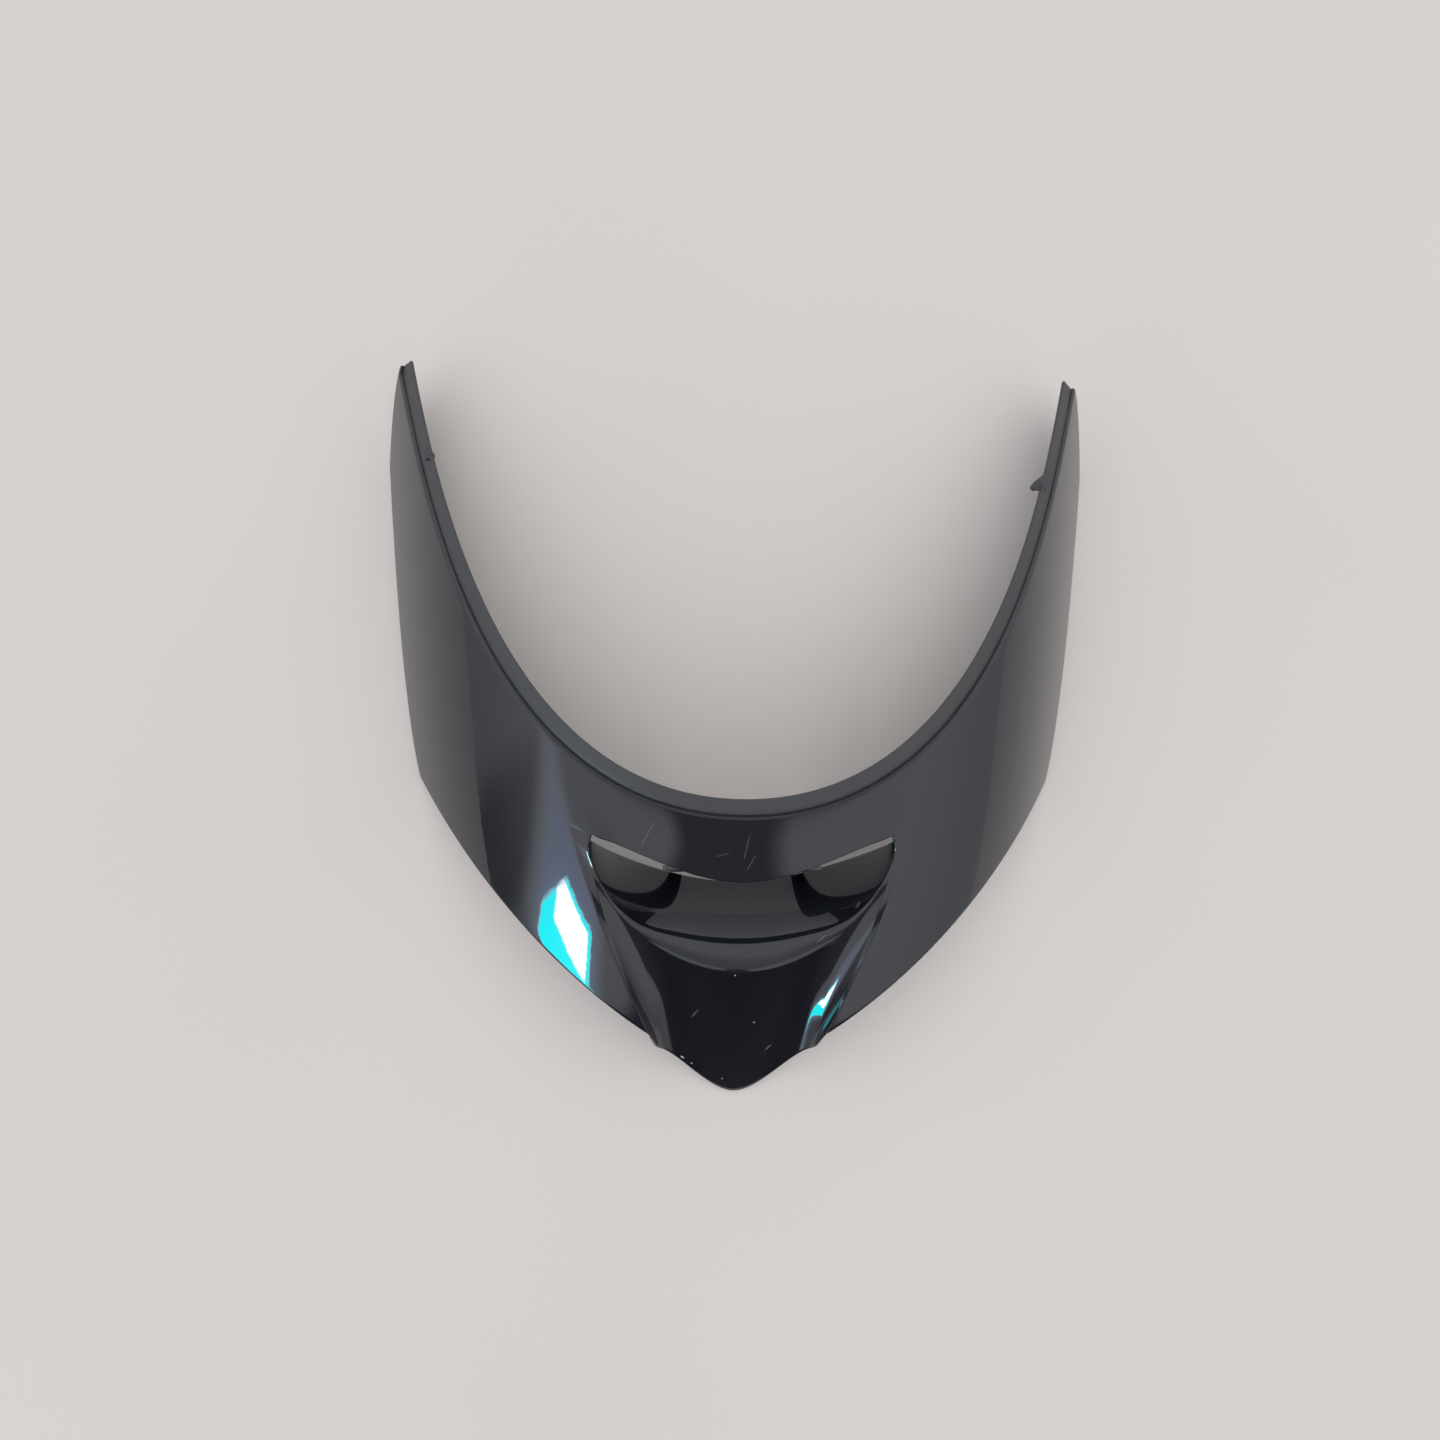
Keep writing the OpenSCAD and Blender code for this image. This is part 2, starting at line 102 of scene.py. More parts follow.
class CowlShape(bpy.types.PropertyGroup):
    """Sizes of the cowl."""
    overall_w: length("Width", "Width across the outer edges of the two arms", 0.478)
    arm_reach: length("Arm reach", "Reach of the arms behind the bottom of the opening", 0.280)
    nose_reach: length("Nose reach", "Reach of the nose in front of the bottom of the opening", 0.203)
    crown_h: length("Crown", "Height of the crown at the bottom of the opening", 0.096)
    wall: length("Wall", "Wall thickness of the moulding", 0.0025)
    opening_w: length("Opening", "Distance between the inner edges at the arm tips", 0.434)
    flange_w: length("Flange", "Width of the matt flange along the opening", 0.009)
    flange_sink: length("Flange depth", "Depth of the flange below the painted face", 0.0018)
    groove_w: length("Groove", "Width of the groove between flange and painted edge", 0.0012)
    groove_sink: length("Groove depth", "Depth of the groove below the painted face", 0.0029)
    edge_r: length("Edge radius", "Radius of the painted edge along the groove", 0.002)
    mouth_w: length("Mouth width", "Width of the mouth between its corners", 0.180)
    band_l: length("Band", "Distance from the opening to the upper lip, at the middle", 0.0495)
    mouth_l: length("Mouth length", "Distance from the upper lip to the lower lip, at the middle", 0.055)
    scoop_drop: length("Scoop drop", "Drop of the scoop from the lower lip to its rear edge", 0.047)
    scoop_gap: length("Scoop gap", "Distance the scoop's rear edge lies in front of the upper lip", 0.009)
    strut_gap: length("Strut distance", "Distance between the middles of the two struts", 0.080)
    strut_w: length("Strut width", "Width of a strut at the lip", 0.013)
    strut_foot_w: length("Strut foot", "Width of a strut at the scoop", 0.008)
    strut_t: length("Strut thickness", "Thickness of a strut", 0.0024)
    beak_w: length("Beak width", "Width of the beak between its shoulders on the lower edge", 0.101)
    beak_l: length("Beak length", "Length of the beak's shoulders behind the nose tip", 0.039)
    crease_gap: length("Crease end", "Distance of the cheek creases' ends behind the beak's shoulders", 0.014)
    shoulder_h: length("Shoulder height", "Height of the beak's shoulders above the nose tip", 0.028)
    lip_dip: length("Lip dip", "Dip of the lower lip where the beak's valley starts", 0.009)
    corner_w: length("Corner distance", "Distance between the two lower corners", 0.428)
    corner_y: length("Corner place", "Distance of the lower corners behind the bottom of the opening", 0.007)
    crease_w: length("Crease distance", "Distance between the two cheek creases on the lower edge", 0.110)
    fold: length("Fold", "How far the band above the mouth lies below the side panels", 0.0016)
    right_break: length("Right break", "Length broken off the right arm tip at its outer edge", 0.012)
    right_chip: length("Right chip", "Length broken off the right arm tip at its inner edge", 0.006)
    left_break: length("Left wear", "Length worn off the left arm tip at its outer edge", 0.002)
    boss_d: length("Boss", "Outside width of a screw boss on the underside", 0.009)
    pilot_d: length("Pilot hole", "Pilot hole of a screw boss", 0.004)
    boss_l: length("Boss length", "Length of a screw boss below the panel", 0.016)
    pilot_l: length("Pilot depth", "Depth of the pilot hole", 0.012)
    boss_gap: length("Boss distance", "Distance between the two screw bosses", 0.250)
    peg_d: length("Peg boss", "Outside width of the small peg boss on the right arm", 0.0044)
    peg_bore: length("Peg hole", "Hole in the small peg boss", 0.0022)
    peg_l: length("Peg length", "Length of the small peg boss", 0.007)


class CowlFinish(bpy.types.PropertyGroup):
    """Colours and gloss of the cowl."""
    paint: colour("Paint", "Blue-black base coat", "#0f1016")
    flake: colour("Pearl", "Colour of the pearl pigment where it faces a light", "#5a86d8")
    bare: colour("Bare plastic", "Matt moulded plastic of the flange and the inside", "#353639")
    chip: colour("Chip", "Filler that shows where the paint is chipped", "#c9cbcc")
    coat_roughness: bpy.props.FloatProperty(name="Coat roughness", description="Roughness of the clear coat",
                                            default=0.03, min=0, max=1, subtype="FACTOR")


class CowlStage(bpy.types.PropertyGroup):
    """Floor, light and camera."""
    floor: colour("Floor", "Pale table top", "#dcd6d3")
    table_edge: length("Table edge", "Place before which the paint mirrors the room and not the table", -0.36)
    window: bpy.props.FloatProperty(name="Window", description="Brightness of the window on the left",
                                    default=20.0, min=0)
    glow: colour("Glow", "Light of the wall round the window", "#9fb4dc")
    sky: colour("Sky", "Light of the window's teal panes", "#12e6ea")
    camera_height: length("Camera height", "Height of the camera above the floor", 0.5583)
    camera_side: length("Camera side", "How far the camera stands to the left of the cowl's middle", 0.0281)
    camera_back: length("Camera back", "How far the camera stands in front of the cowl's middle", 0.0085)
    lens: bpy.props.FloatProperty(name="Lens", description="Focal length on a 36 mm wide frame",
                                  default=20.275)
    tilt: bpy.props.FloatVectorProperty(name="Tilt", description="Turn of the camera away from straight down",
                                        default=tuple(math.radians(a) for a in (1.84, -1.72, 0.53)),
                                        subtype="EULER")


# The form of the cowl

def mix(a, b, t):
    return a + (b - a) * t


def bez(points, t):
    """Points at places t of a Bezier curve with any number of control points."""
    p = np.asarray(points, float)
    t = np.asarray(t, float)[..., None]
    n = len(p) - 1
    return sum(math.comb(n, k) * (1 - t) ** (n - k) * t ** k * p[k] for k in range(n + 1))


def smoothstep(t):
    t = np.clip(t, 0, 1)
    return t * t * (3 - 2 * t)


class CowlForm:
    """Plan curves and heights of the right half, measured from the bottom of the opening."""

    def __init__(self, s):
        self.s = s
        self.lift = 0.0
        self.shares = {}
        self.half_w = s.overall_w / 2
        self.half_open = s.opening_w / 2
        half_mouth = s.mouth_w / 2
        half_beak = s.beak_w / 2
        half_crease = s.crease_w / 2
        half_corner = s.corner_w / 2
        self.shift_y = (s.nose_reach - s.arm_reach) / 2
        nose_y = -s.nose_reach
        shoulder_y = nose_y + s.beak_l
        crease_y = shoulder_y + s.crease_gap
        lip_y = -s.band_l
        low_lip_y = lip_y - s.mouth_l
        half_open = self.half_open
        side_y = SIDE_END * s.arm_reach
        self.opening = [(0, 0), (0.5 * half_open, 0), (0.783 * half_open, 0.384 * s.arm_reach),
                        (half_open, s.arm_reach)]
        self.upper_lip = [(0, lip_y), (0.325 * half_mouth, lip_y), (0.654 * half_mouth, 0.65 * lip_y),
                          (0.976 * half_mouth, 0.437 * lip_y)]
        self.lower_lip = [(0, low_lip_y), (0.41 * half_mouth, low_lip_y),
                          (0.847 * half_mouth, 0.795 * low_lip_y), (1.006 * half_mouth, 0.3 * low_lip_y)]
        self.crease = [tuple(bez(self.opening, CREASE_START)), (1.27 * half_mouth, 0.033),
                       (1.174 * half_mouth, -0.026), (half_crease, crease_y)]
        self.valley = [tuple(bez(self.lower_lip, N_BEAK / N_MOUTH)), (half_beak, 0.72 * shoulder_y),
                       (half_beak, shoulder_y)]
        self.nose = [(0, nose_y), (0.35 * half_beak, nose_y), (0.78 * half_beak, nose_y + 0.81 * s.beak_l),
                     (half_beak, shoulder_y)]
        self.skirt_front = [(half_crease, crease_y), (mix(half_crease, half_corner, 0.463), -0.098),
                            (half_corner, s.corner_y)]
        self.skirt_side = [(half_corner, s.corner_y), (self.half_w - 0.011, s.corner_y + 0.041),
                           (self.half_w, side_y)]
        self.skirt_tip = [(self.half_w, side_y), (self.half_w - 0.004, 0.93 * s.arm_reach),
                          (half_open + 0.009, s.arm_reach)]
        self.scoop_back = [(0, lip_y - s.scoop_gap), (0.45 * half_mouth, lip_y - s.scoop_gap),
                           (0.83 * half_mouth, 0.96 * lip_y), (0.985 * half_mouth, 0.5 * lip_y)]

    def crown(self, x, y):
        """Height of the smooth crown above a point of the plan."""
        s = self.s
        back = CROWN_BACK * s.arm_reach
        front = s.nose_reach + CROWN_RUN
        reach = self.half_w * (0.95 + 0.26 * y) * (1 - ((back - y) / (back + front)) ** 5) ** 0.38
        return (s.crown_h + RIDGE_SLOPE * y - RIDGE_BOW * y * y) * (1 - (np.abs(x) / reach) ** 2.87)

    def raised(self, p):
        return np.concatenate([p, self.crown(p[..., 0], p[..., 1])[..., None]], axis=-1)

    def skirt(self, i):
        """Point of the lower outer edge at a column of the side panel."""
        if i <= N_SKIRT:
            return bez(self.skirt_front, (i - N_CREASE) / (N_SKIRT - N_CREASE))
        if i <= N_SIDE:
            return bez(self.skirt_side, (i - N_SKIRT) / (N_SIDE - N_SKIRT))
        return bez(self.skirt_tip, (i - N_SIDE) / (N_COL - N_SIDE))

    def start(self, i):
        """Place along the opening's edge at which a column starts."""
        if i < N_CREASE:
            return MOUTH_START * i / N_MOUTH
        if i <= N_SKIRT:
            return mix(CREASE_START, CORNER_START, (i - N_CREASE) / (N_SKIRT - N_CREASE))
        if i <= N_SIDE:
            return mix(CORNER_START, TIP_START, (i - N_SKIRT) / (N_SIDE - N_SKIRT))
        return mix(TIP_START, 1, (i - N_SIDE) / (N_COL - N_SIDE))

    def bend(self, v, v_end):
        """How far the crease bends away from a straight column."""
        end = bez(self.crease, v_end)
        return bez(self.crease, v) - mix(np.array(self.crease[0]), end, (v / v_end)[..., None])

    def plan(self, i, v):
        """Plan points at shares v of a column, measured from the opening."""
        v = np.asarray(v, float)
        first = bez(self.opening, self.start(i))
        if i <= N_MOUTH:
            last = bez(self.upper_lip, i / N_MOUTH)
            return mix(first, last, (v / CREASE_LIP)[..., None]) \
                + self.bend(v, CREASE_LIP) * (i / N_MOUTH) ** 3
        return mix(first, self.skirt(i), v[..., None]) \
            + self.bend(v, 1.0) * (1 - (i - N_CREASE) / (N_COL - N_CREASE)) ** 3

    def edge_shares(self, i):
        """Shares of a column at rows 0 to 5: flange, groove and rounded edge at their true widths."""
        s = self.s
        if i not in self.shares:
            v = np.linspace(0, 0.9, 181)
            edge = bez(self.opening, np.linspace(0, 1, 801))
            gap = np.linalg.norm(self.plan(i, v)[:, None] - edge[None], axis=-1).min(axis=1)
            groove_end = s.flange_w + s.groove_w
            widths = (0, s.flange_w, s.flange_w + 0.5 * s.groove_w, groove_end, groove_end + 0.4 * s.edge_r,
                      groove_end + s.edge_r)
            most = (0, 0.7, 0.77, 0.83, 0.86, 0.9)
            self.shares[i] = np.minimum(np.interp(widths, np.maximum.accumulate(gap), v), most)
        return self.shares[i]

    def column_v(self, i, rows):
        """Shares of a column at its rows."""
        shares = self.edge_shares(i)
        share = np.interp(rows, (R_EDGE, R_LIP, R_LOW, N_ROW), (0, LIP_SHARE, LOW_SHARE, 1))
        if i <= N_MOUTH:
            face = mix(shares[-1], CREASE_LIP, share / LIP_SHARE)
        else:
            face = mix(shares[-1], 1.0, share)
        return np.where(rows <= R_EDGE, np.interp(rows, range(R_EDGE + 1), shares), face)

    def sink(self, rows):
        """Depth of flange, groove and rounded painted edge below the painted face."""
        s = self.s
        knots = (0, 1.0, 1.2, 1.6, 2.0, 2.4, 2.8, 3.0, 3.4, 3.8, 4.2, 4.6, 5.0)
        depths = (s.flange_sink, s.flange_sink, s.flange_sink * 1.05, s.groove_sink * 0.9, s.groove_sink,
                  s.groove_sink * 0.97, s.edge_r * 0.85, s.edge_r * 0.55, s.edge_r * 0.3, s.edge_r * 0.16,
                  s.edge_r * 0.07, s.edge_r * 0.02, 0)
        return np.interp(rows, knots, depths)

    def low_lip(self, i):
        m = i / N_MOUTH
        x, y = bez(self.lower_lip, m)
        return np.array([x, y, self.crown(x, y) - self.s.lip_dip * math.sin(math.pi * m) ** 2])

    def valley_line(self, v):
        p = bez(self.valley, v)
        z = mix(self.low_lip(N_BEAK)[2], self.s.shoulder_h, v)
        return np.concatenate([p, z[..., None]], axis=-1)

    def beak(self, i, v):
        """Beak between lower lip and nose, a straight ramp that bends to the valley on each side."""
        n = i / N_BEAK
        top = self.low_lip(i)
        end = np.append(bez(self.nose, n), self.s.shoulder_h * n ** 2)
        side = self.valley_line(v)
        ends = self.valley_line(np.array([0.0, 1.0]))
        vv = v[..., None]
        p = mix(top[:2], end[:2], vv) + (side[:, :2] - mix(ends[0, :2], ends[1, :2], vv)) * n
        z = mix(self.low_lip(0)[2] * (1 - v), side[:, 2], n ** 3)
        z_top = mix(self.low_lip(0)[2], ends[0, 2], n ** 3)
        z_end = self.s.shoulder_h * n ** 3
        z = z + (top[2] - z_top) * (1 - v) ** 3 + (end[2] - z_end) * v ** 3
        return np.concatenate([p, z[:, None]], axis=-1)

    def cheek(self, i, v):
        """Cheek between the valley and the crease."""
        c = (i - N_BEAK) / (N_CREASE - N_BEAK)
        v_low = float(self.column_v(N_CREASE, np.array([float(R_LOW)]))[0])
        inner = self.valley_line(v)
        outer = self.raised(bez(self.crease, mix(v_low, 1.0, v)))
        crease_top = self.raised(bez(self.crease, v_low))
        top = crease_top if i == N_CREASE else self.low_lip(i)
        top_line = mix(self.valley_line(np.array([0.0]))[0], crease_top, c)
        return mix(inner, outer, c) + (top - top_line) * ((1 - v) ** 2)[..., None]

    def corner(self, k):
        """Corner of the mouth, from the upper to the lower lip."""
        upper = self.raised(bez(self.upper_lip, 1.0))
        return mix(upper, self.low_lip(N_MOUTH), np.asarray(k, float)[..., None])

    def scoop(self, i, k):
        """Scoop wall that rolls over the lower lip and falls to its rear edge."""
        m = i / N_MOUTH
        top = self.low_lip(i)
        back = bez(self.scoop_back, m)
        side = self.corner(1 - k * (R_LOW - R_SCOOP) / (R_LOW - R_LIP))
        side_end = self.corner((R_SCOOP - R_LIP) / (R_LOW - R_LIP))
        deep = mix(top[2] - self.s.scoop_drop, side_end[2], m ** 5)
        fall = mix(0.12 * k + 0.88 * k ** 1.8, k, m ** 5)
        p = mix(top[:2], back, k[..., None])
        z = mix(top[2], deep, fall)
        return mix(np.concatenate([p, z[:, None]], axis=-1), side, m ** 30)

    def column(self, i, rows):
        """Painted face of one column at all its rows."""
        if N_MOUTH < i < N_CREASE:
            face = mix(self.column(N_MOUTH, rows), self.column(N_CREASE, rows), i - N_MOUTH)
            upper = rows <= R_LIP
            face[upper] = self.raised(face[upper, :2])
            face[upper, 2] -= self.fold(i, rows[upper])
            return face
        face = self.raised(self.plan(i, np.minimum(self.column_v(i, rows), 1.0)))
        if i > N_CREASE:
            return face
        face[:, 2] -= np.where(rows <= R_LIP, self.fold(i, rows), 0)
        low = rows >= R_LOW
        share = (rows[low] - R_LOW) / (N_ROW - R_LOW)
        face[low] = self.beak(i, share) if i <= N_BEAK else self.cheek(i, share)
        between = (rows > R_LIP) & (rows < R_LOW)
        if i == N_MOUTH:
            face[between] = self.corner((rows[between] - R_LIP) / (R_LOW - R_LIP))
        elif i < N_MOUTH:
            face[between] = self.scoop(i, np.clip((R_LOW - rows[between]) / (R_LOW - R_SCOOP), 0, 1))
        return face

    def fold(self, i, rows):
        """How far the band above the mouth lies below the crown."""
        across = 1 - smoothstep((i - 11.5) / (N_CREASE - 11.5))
        return self.s.fold * across * smoothstep((rows - R_EDGE) / (R_LIP - R_EDGE))

    def inward(self, p, normal, col, row):
        """Direction of the wall's thickness at each point of the grid.

        It runs towards a line low inside the shell, down along the flange and at the arm tips, forward
        and down along the scoop, out and down at the mouth's corner, and square to the beak and the cheek.
        """
        none = np.zeros_like(row)
        core = unit(np.stack([-p[..., 0], -0.3 * (p[..., 1] + 0.04), -0.06 - p[..., 2]], axis=-1))
        # Square to the face on the beak, and turning evenly across the cheek
        beak, crease = nearest(COLUMNS, N_BEAK), nearest(COLUMNS, N_CREASE)
        across = np.clip((col - N_BEAK) / (N_CREASE - N_BEAK), 0, 1)[..., None]
        cheek = unit(mix(normal[beak], normal[crease], across))
        on_cheek = (col > N_BEAK) & (col < N_CREASE) & (row > R_LOW)
        square = np.where(on_cheek[..., None], cheek, normal)
        squareness = np.clip((row - R_LOW + 1) / 3, 0, 1) * np.clip((N_CREASE + 4 - col) / 4, 0, 1)
        way = unit(mix(core, -square, squareness[..., None]))
        # Along the scoop and round the mouth's corner
        m = np.minimum(col / N_MOUTH, 1)
        corner = m ** 8
        scoop = unit(mix(np.stack([0.8 * m, none - 0.75, none - 0.5], axis=-1), np.array([0.5, 0.1, -0.85]),
                         corner[..., None]))
        fade = np.interp(row, (R_LIP - 2, R_LIP, R_LOW, R_LOW + 2), (0, 1, 1, 0)) * (col <= N_MOUTH)
        depth = np.clip((R_LOW - row) / (R_LOW - R_SCOOP), 0, 1) * (row > R_LIP)
        way = unit(mix(way, scoop, (fade * mix(depth, 1, corner))[..., None]))
        # Down along the flange and at the arm tips
        down = np.stack([-FLANGE_LEAN * p[..., 0] / self.half_open, none, none - 1], axis=-1)
        edge = np.maximum(1 - row / R_EDGE, (col - N_SIDE) / (N_COL - N_SIDE))[..., None]
        return np.where(edge > 0, unit(mix(core, down, np.clip(edge, 0, 1))), way)


def unit(v):
    return v / np.maximum(np.linalg.norm(v, axis=-1, keepdims=True), 1e-12)


def spaced(*spans):
    """Rising places made of spans (from, to, steps)."""
    parts = [np.linspace(a, b, n, endpoint=False) for a, b, n in spans]
    return np.concatenate(parts + [[spans[-1][1]]])


# Places of the fine mesh: closer along the groove, the lips, the valley and the crease
COLUMNS = spaced((0, 6, 26), (6, 9.5, 26), (9.5, 14, 22), (14, 15, 8), (15, 16, 10), (16, 16.6, 8),
                 (16.6, 26, 34), (26, 36, 40), (36, 40, 18))
ROWS = spaced((0, 1, 4), (1, 3.4, 11), (3.4, 5, 4), (5, 10.4, 14), (10.4, 11, 4), (11, 13, 4), (13, 18, 16),
              (18, 19, 6), (19, 20.2, 7), (20.2, 29, 34))


def nearest(places, value):
    return int(np.argmin(np.abs(places - value)))


def blurred(grid, axis, sigma):
    """The grid smoothed along one axis by a soft kernel of width sigma, in metres, at each point."""
    moved = np.moveaxis(grid, axis, 0)
    wide = np.moveaxis(sigma[..., None], axis, 0)[..., 0]
    steps = np.linalg.norm(np.diff(moved, axis=0), axis=-1)
    place = np.concatenate([np.zeros((1, steps.shape[1])), np.cumsum(steps, axis=0)])
    weight = np.gradient(place, axis=0)
    out = moved.copy()
    for line in range(moved.shape[1]):
        gap = place[:, None, line] - place[None, :, line]
        width = np.maximum(wide[:, line], 1e-6)[:, None]
        kernel = np.exp(-0.5 * (gap / width) ** 2) * weight[None, :, line]
        kernel /= kernel.sum(axis=1, keepdims=True)
        soft = kernel @ moved[:, line]
        out[:, line] = np.where(wide[:, None, line] > 1e-5, soft, moved[:, line])
    return np.moveaxis(out, 0, axis)


def half_shell(form):
    """Painted face of the right half on the fine grid of columns and rows, creases rounded."""
    face = np.stack([form.column(c, ROWS) for c in COLUMNS])
    col, row = np.meshgrid(COLUMNS, ROWS, indexing="ij")

    # The lower lip rolls over on about 2 mm, from the beak into the scoop
    roll = LIP_ROLL * np.exp(-((row - R_LOW) / 0.9) ** 2) * (col < 14.2)
    face = blurred(face, 1, roll)
    # The valley beside the beak is hollowed, the crease beside the cheek stays tight
    below = smoothstep((row - R_LOW + 0.3) / 1.2)
    hollow = VALLEY_HOLLOW * np.exp(-((col - N_BEAK) / 1.6) ** 2) * below \
        * (1 - 0.35 * smoothstep((row - 26) / 3))
    crisp = CREASE_ROUND * np.exp(-((col - N_CREASE) / 0.5) ** 2) * (row > R_LIP - 0.5)
    mirrored = np.concatenate([face[:0:-1] * [-1, 1, 1], face])
    wide = np.concatenate([(hollow + crisp)[:0:-1], hollow + crisp])
    return blurred(mirrored, 0, wide)[len(COLUMNS) - 1:]


def worn_tips(face, form, side):
    """The face with its last columns pulled back where the arm tip is broken or worn."""
    s = form.s
    row = np.arange(len(ROWS)) / (len(ROWS) - 1)
    if side < 0:
        loss = s.left_break * row
    else:
        jag = 0.0012 * np.sin(37 * row) * np.sin(11 * row + 1) + 0.001 * np.exp(-((ROWS - 2.6) / 0.7) ** 2)
        loss = mix(s.right_chip, s.right_break, row) + jag
    pace = (1 - SIDE_END) * s.arm_reach / (N_COL - N_SIDE)
    out = face.copy()
    tip = COLUMNS > N_SIDE
    past = (COLUMNS[tip] - N_SIDE) / (N_COL - N_SIDE)
    for j in range(len(ROWS)):
        place = COLUMNS[tip] - past * loss[j] / pace
        for k in range(3):
            out[tip, j, k] = np.interp(place, COLUMNS, face[:, j, k])
    return out


def grid_normals(face):
    across = np.gradient(face, axis=0)
    down = np.gradient(face, axis=1)
    return unit(np.cross(down, across))


def shell_skins(form):
    """Outer and inner points of the whole shell, left to right, in the frame of the part."""
    right = half_shell(form)
    normal = grid_normals(right)
    skins = []
    col, row = np.meshgrid(COLUMNS, ROWS, indexing="ij")
    for side in (-1, 1):
        face = worn_tips(right, form, side)
        d = form.inward(face, normal, col, row)
        lean = np.abs((normal * d).sum(axis=-1))
        wall = form.s.wall / np.maximum(0.6, lean) + form.s.flange_sink * (row < R_EDGE)
        outer = face + form.sink(row)[..., None] * d
        inner = face + wall[..., None] * d
        skins.append((outer * [side, 1, 1], inner * [side, 1, 1]))
    outer = np.concatenate([skins[0][0][:0:-1], skins[1][0]])
    inner = np.concatenate([skins[0][1][:0:-1], skins[1][1]])
    return outer, inner


def to_part(points, form):
    """Points moved into the frame of the part, the shell's lowest point on the floor."""
    return points + [0, form.shift_y, form.lift]


def rim_rings(outer, inner, away, bulge):
    """Points of a rounded rim between two boundary lines: rings from the outer to the inner line."""
    places = (0.04, 0.18, 0.5, 0.82, 0.96)
    rings = []
    for t in places:
        out = (1 - abs(2 * t - 1) ** 2.5) ** 0.4
        rings.append(mix(outer, inner, t) + away * bulge * out)
    return rings


def shell_mesh(form):
    """Vertices, faces and material numbers of the whole shell."""
    outer, inner = shell_skins(form)
    n_col, n_row = outer.shape[:2]
    mid = n_col // 2
    m = nearest(COLUMNS, N_MOUTH)
    lip, back = nearest(ROWS, R_LIP), nearest(ROWS, R_SCOOP)
    verts = [outer.reshape(-1, 3), inner.reshape(-1, 3)]
    half = n_col * n_row

    def at(c, r):
        return c * n_row + r

    outline = [(c, 0) for c in range(n_col)] + [(n_col - 1, r) for r in range(1, n_row)] \
        + [(c, n_row - 1) for c in range(n_col - 2, -1, -1)] + [(0, r) for r in range(n_row - 2, 0, -1)]
    mouth = [(c, lip) for c in range(mid - m, mid + m + 1)] \
        + [(mid + m, r) for r in range(lip + 1, back + 1)] \
        + [(c, back) for c in range(mid + m - 1, mid - m - 1, -1)] \
        + [(mid - m, r) for r in range(back - 1, lip, -1)]

    faces, kinds = [], []
    for c in range(n_col - 1):
        for r in range(n_row - 1):
            if mid - m <= c < mid + m and lip <= r < back:
                continue
            a, b, d, e = at(c, r), at(c + 1, r), at(c + 1, r + 1), at(c, r + 1)
            faces.append((a, e, d, b))
            kinds.append(1 if ROWS[r] < BARE_END else 0)
            faces.append((half + a, half + b, half + d, half + e))
            kinds.append(2)

    flat_outer, flat_inner = verts[0], verts[1]
    count = 2 * half
    for run, sign in ((outline, 1), (mouth, -1)):
        ids = np.array([at(c, r) for c, r in run])
        o, i = flat_outer[ids].copy(), flat_inner[ids].copy()
        neighbours = []
        for c, r in run:
            if sign > 0:
                cc, rr = min(max(c, 1), n_col - 2), min(max(r, 1), n_row - 2)
            else:
                side = (c == mid + m) - (c == mid - m)
                cc = c + side if lip < r < back else c
                rr = r - 1 if r == lip else r + 1 if r == back else r
            neighbours.append(at(cc, rr))
        away = unit(o - flat_outer[neighbours])
        bulge = np.full((len(run), 1), RIM_BULGE)
        rings = rim_rings(o - away * bulge, i - away * bulge, away, bulge)
        flat_outer[ids] = o - away * bulge
        flat_inner[ids] = i - away * bulge
        rows = [ids] + [count + k * len(run) + np.arange(len(run)) for k in range(len(rings))] + [half + ids]
        verts.extend(rings)
        count += len(rings) * len(run)
        for k in range(len(rows) - 1):
            p, q = rows[k], rows[k + 1]
            for s in range(len(run)):
                t = (s + 1) % len(run)
                faces.append((p[s], p[t], q[t], q[s]) if sign > 0 else (p[s], q[s], q[t], p[t]))
                c, r = run[s]
                bare = sign > 0 and (r < nearest(ROWS, 3) or c in (0, n_col - 1)) or k >= 3
                kinds.append(1 if bare else 0)
    used, index = np.unique(np.concatenate([np.asarray(f) for f in faces]), return_inverse=True)
    return np.concatenate(verts)[used], index.reshape(-1, 4), kinds


def mesh_object(name, verts, faces, materials, kinds=None):
    """Smooth mesh object at the origin from arrays of points and faces."""
    mesh = bpy.data.meshes.new(name)
    mesh.from_pydata([tuple(v) for v in verts], [], [tuple(int(k) for k in f) for f in faces])
    for material in materials:
        mesh.materials.append(material)
    if kinds is not None:
        mesh.polygons.foreach_set("material_index", kinds)
    mesh.polygons.foreach_set("use_smooth", [True] * len(mesh.polygons))
    mesh.validate()
    mesh.update()
    obj = bpy.data.objects.new(name, mesh)
    bpy.context.scene.collection.objects.link(obj)
    return obj


def on_cowl(obj):
    """The piece rides on the part's body and stands for its solid, whose imported piece it hides."""
    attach(obj, "root")
    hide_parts(NODE)
    return obj


# Materials

